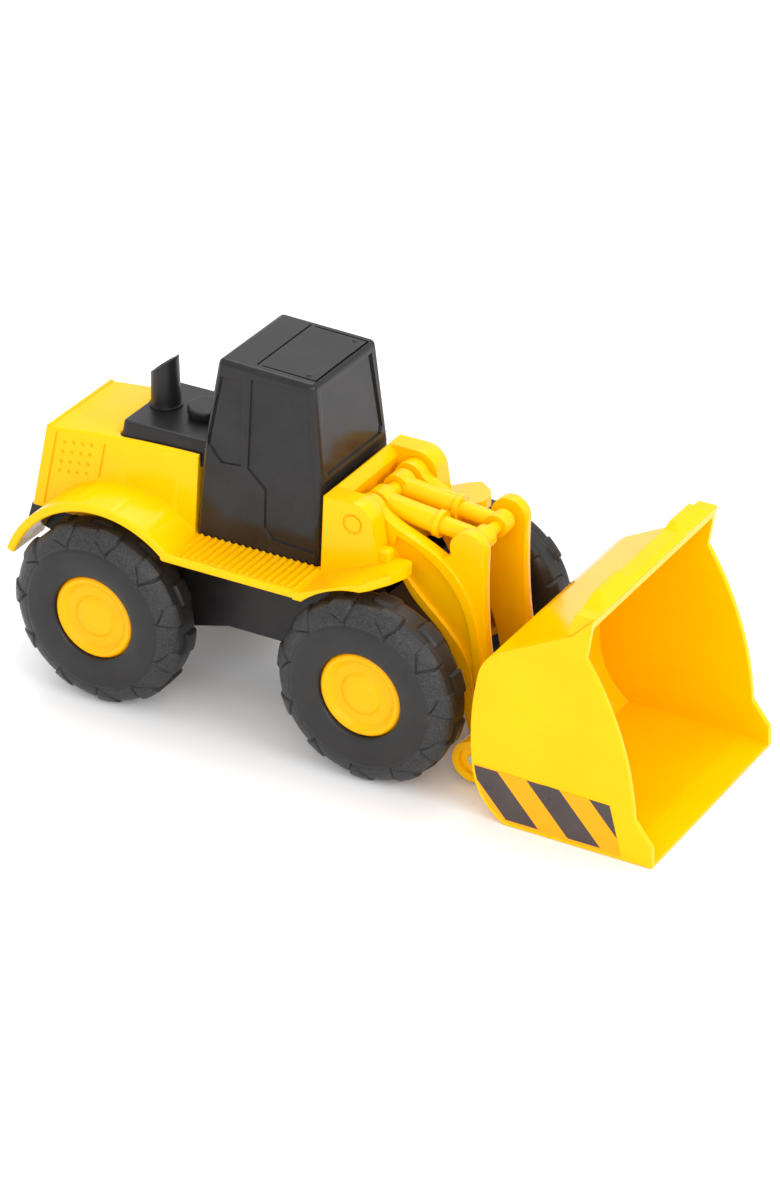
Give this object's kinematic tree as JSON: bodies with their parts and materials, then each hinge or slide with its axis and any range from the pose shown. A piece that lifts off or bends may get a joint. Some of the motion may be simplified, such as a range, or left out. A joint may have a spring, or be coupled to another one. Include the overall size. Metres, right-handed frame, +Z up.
{
  "type": "toy front loader",
  "caption": "Toy wheel loader with rolling wheels, lifting arms and a tilting scoop bucket, moulded in yellow and black plastic.",
  "frame": {"origin": "on the ground, under the middle of the whole machine's bounding box", "axes": "+X forward towards the bucket, +Y to the machine's left, +Z up"},
  "size_m": [0.2182, 0.0828, 0.1118],
  "materials": {
    "yellow_body": "glossy moulded yellow plastic",
    "yellow_arm": "glossy moulded yellow plastic",
    "yellow_bucket": "glossy moulded yellow plastic",
    "yellow_hub": "satin moulded yellow plastic",
    "black_cab": "glossy moulded black plastic",
    "black_cover": "satin moulded black plastic",
    "black_chassis": "satin moulded black plastic",
    "tyre_plastic": "soft matte black, grained tread",
    "steel": "drawn steel wire",
    "label": "printed film with dark stripes"
  },
  "bodies": {
    "root": {"chassis": "black_chassis", "body_shell": "yellow_body", "cab_shell": "black_cab", "engine_cover": "black_cover", "exhaust_stack": "black_cover", "air_cleaner_cap": "black_cover", "chassis_screws": "steel", "arm_pivot_pin": "yellow_arm"},
    "front_wheels": {"front_axle": "steel", "tyre_front_left": "tyre_plastic", "tyre_front_right": "tyre_plastic", "wheel_hub_front_left": "yellow_hub", "wheel_hub_front_right": "yellow_hub"},
    "rear_wheels": {"rear_axle": "steel", "tyre_rear_left": "tyre_plastic", "tyre_rear_right": "tyre_plastic", "wheel_hub_rear_left": "yellow_hub", "wheel_hub_rear_right": "yellow_hub"},
    "arms": {"loader_arm_left": "yellow_arm", "loader_arm_right": "yellow_arm", "horn_cross_bar": "yellow_arm", "arm_spacer_tube": "yellow_arm", "tilt_cylinder_left": "yellow_arm", "tilt_cylinder_right": "yellow_arm", "bucket_pin": "steel"},
    "bucket_group": {"bucket": "yellow_bucket", "warning_stripe_left": "label", "warning_stripe_right": "label"}
  },
  "joints": [
    {"name": "front_wheels_roll", "type": "hinge", "parent": "root", "child": "front_wheels", "pos_m": [0.0159, 0, 0.029], "axis": [0, 1, 0], "continuous": true},
    {"name": "rear_wheels_roll", "type": "hinge", "parent": "root", "child": "rear_wheels", "pos_m": [-0.0741, 0, 0.029], "axis": [0, 1, 0], "continuous": true},
    {"name": "arms_lift", "type": "hinge", "parent": "root", "child": "arms", "pos_m": [0.0036, 0, 0.0727], "axis": [0, -1, 0], "range_deg": [0, 50]},
    {"name": "bucket_tilt", "type": "hinge", "parent": "arms", "child": "bucket_group", "pos_m": [0.0443, 0, 0.0076], "axis": [0, -1, 0], "range_deg": [-80, 10]}
  ]
}
